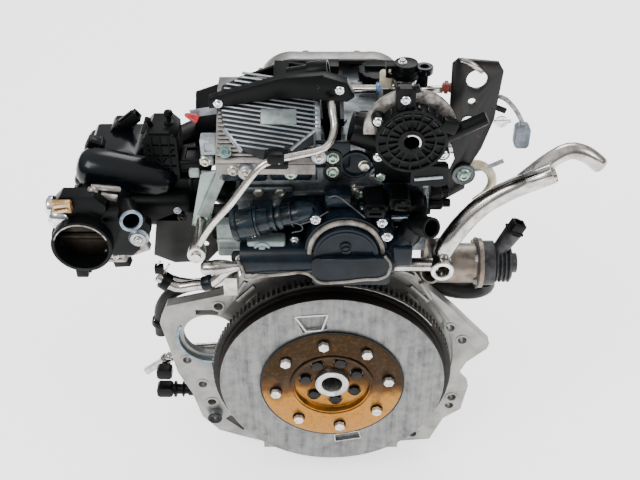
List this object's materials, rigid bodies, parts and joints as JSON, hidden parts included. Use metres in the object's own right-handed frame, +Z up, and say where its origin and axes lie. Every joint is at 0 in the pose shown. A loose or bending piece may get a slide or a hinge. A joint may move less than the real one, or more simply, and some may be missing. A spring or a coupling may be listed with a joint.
{
  "type": "car engine",
  "caption": "Dressed inline petrol car engine with flywheel, cast block, throttle body, coolant housing and turning crankshaft.",
  "frame": {"origin": "crankshaft axis where it crosses the block's gearbox face", "axes": "-Y out of the flywheel along the crankshaft, +Z up along the cylinders, +X to the right seen from the flywheel"},
  "size_m": [0.6172, 0.3962, 0.6],
  "materials": {
    "cast_aluminium": "sand cast, light grey, satin",
    "dark_aluminium": "die cast, darker grey, satin",
    "machined_steel": "turned and brushed, satin",
    "bronze_plate": "gold passivated sheet, mirror smooth",
    "zinc_steel": "zinc plated fasteners",
    "black_plastic": "glass filled, satin moulding",
    "black_rubber": "moulded rubber, dull",
    "stainless_pipe": "bent stainless tube, drawn",
    "black_paint": "black dip coat over pressed steel",
    "tan_cast": "heat stained casting",
    "forged_iron": "machined forging",
    "grey_braid": "braided sleeve",
    "grey_plastic": "moulded connector",
    "yellow_plastic": "moulded grip"
  },
  "bodies": {
    "engine": {"engine_block": "cast_aluminium", "cylinder_liners": "forged_iron", "main_bearing_caps": "forged_iron", "rear_oil_seal": "black_rubber", "oil_pan": "cast_aluminium", "drain_plug": "zinc_steel", "cylinder_head": "dark_aluminium", "head_gasket": "forged_iron", "cam_cover": "dark_aluminium", "pistons": "cast_aluminium", "valves": "machined_steel", "timing_chain": "forged_iron", "timing_cover": "cast_aluminium", "ignition_coils": "black_plastic", "dipstick_tube": "zinc_steel", "oil_filter": "black_paint", "intake_manifold": "black_plastic", "throttle_body": "black_plastic", "finned_cover": "cast_aluminium", "top_bracket": "black_paint", "breather_elbow": "black_rubber", "oil_feed_pipe": "stainless_pipe", "coolant_housing": "black_plastic", "coolant_cover": "black_plastic", "coolant_elbow": "black_plastic", "housing_bolts": "zinc_steel", "barrel_sensor": "black_plastic", "sensor_plugs": "black_plastic", "coolant_pipe_left": "stainless_pipe", "hose_clamps": "black_paint", "left_hose": "black_rubber", "stub_pipe": "stainless_pipe", "pressure_switch": "black_plastic", "coolant_pipe_right": "stainless_pipe", "large_pipe": "stainless_pipe", "egr_housing": "tan_cast", "egr_actuator": "dark_aluminium", "right_hose": "black_rubber", "oil_separator": "black_plastic", "separator_ring": "cast_aluminium", "fuel_pump": "stainless_pipe", "fuel_pump_cap": "black_plastic", "lifting_bracket": "black_paint", "pigtail": "grey_braid", "pigtail_connector": "grey_plastic", "side_plate": "black_paint"},
    "crank": {"crankshaft": "forged_iron", "pilot_bush": "machined_steel", "flywheel": "machined_steel", "ring_gear": "machined_steel", "drive_plate": "bronze_plate", "drive_plate_bolts": "zinc_steel", "crank_bolts": "forged_iron", "crank_pulley": "black_paint"},
    "intake_cam": {"intake_camshaft": "forged_iron"},
    "exhaust_cam": {"exhaust_camshaft": "forged_iron"},
    "throttle": {"throttle_plate": "bronze_plate"},
    "recirculation_valve": {"egr_valve": "machined_steel"},
    "filler_cap": {"oil_filler_cap": "black_plastic"},
    "oil_stick": {"dipstick": "yellow_plastic"}
  },
  "joints": [
    {"name": "crank_spin", "type": "hinge", "parent": "engine", "child": "crank", "pos_m": [0, 0, 0], "axis": [0, 1, 0], "continuous": true},
    {"name": "intake_cam_spin", "type": "hinge", "parent": "engine", "child": "intake_cam", "pos_m": [-0.052, 0.1, 0.2502], "axis": [0, 1, 0], "continuous": true},
    {"name": "exhaust_cam_spin", "type": "hinge", "parent": "engine", "child": "exhaust_cam", "pos_m": [0.052, 0.1, 0.2502], "axis": [0, 1, 0], "continuous": true},
    {"name": "throttle_turn", "type": "hinge", "parent": "engine", "child": "throttle", "pos_m": [-0.281, -0.022, 0.2182], "axis": [1, 0, 0], "range_deg": [0, 82], "stiffness_Nm_per_rad": 0.3},
    {"name": "valve_lift", "type": "slide", "parent": "engine", "child": "recirculation_valve", "axis": [-1, 0, 0], "range_m": [0, 0.006], "stiffness_N_per_m": 3000},
    {"name": "cap_turn", "type": "hinge", "parent": "engine", "child": "filler_cap", "pos_m": [0.06, 0.218, 0.2782], "axis": [0, 0, 1], "range_deg": [0, 90]},
    {"name": "stick_pull", "type": "slide", "parent": "engine", "child": "oil_stick", "axis": [-0.2067, 0.0689, 0.976], "range_m": [0, 0.18]}
  ],
  "couplings": [
    {"joint": "intake_cam_spin", "follows": "crank_spin", "ratio": 0.5},
    {"joint": "exhaust_cam_spin", "follows": "crank_spin", "ratio": 0.5}
  ]
}
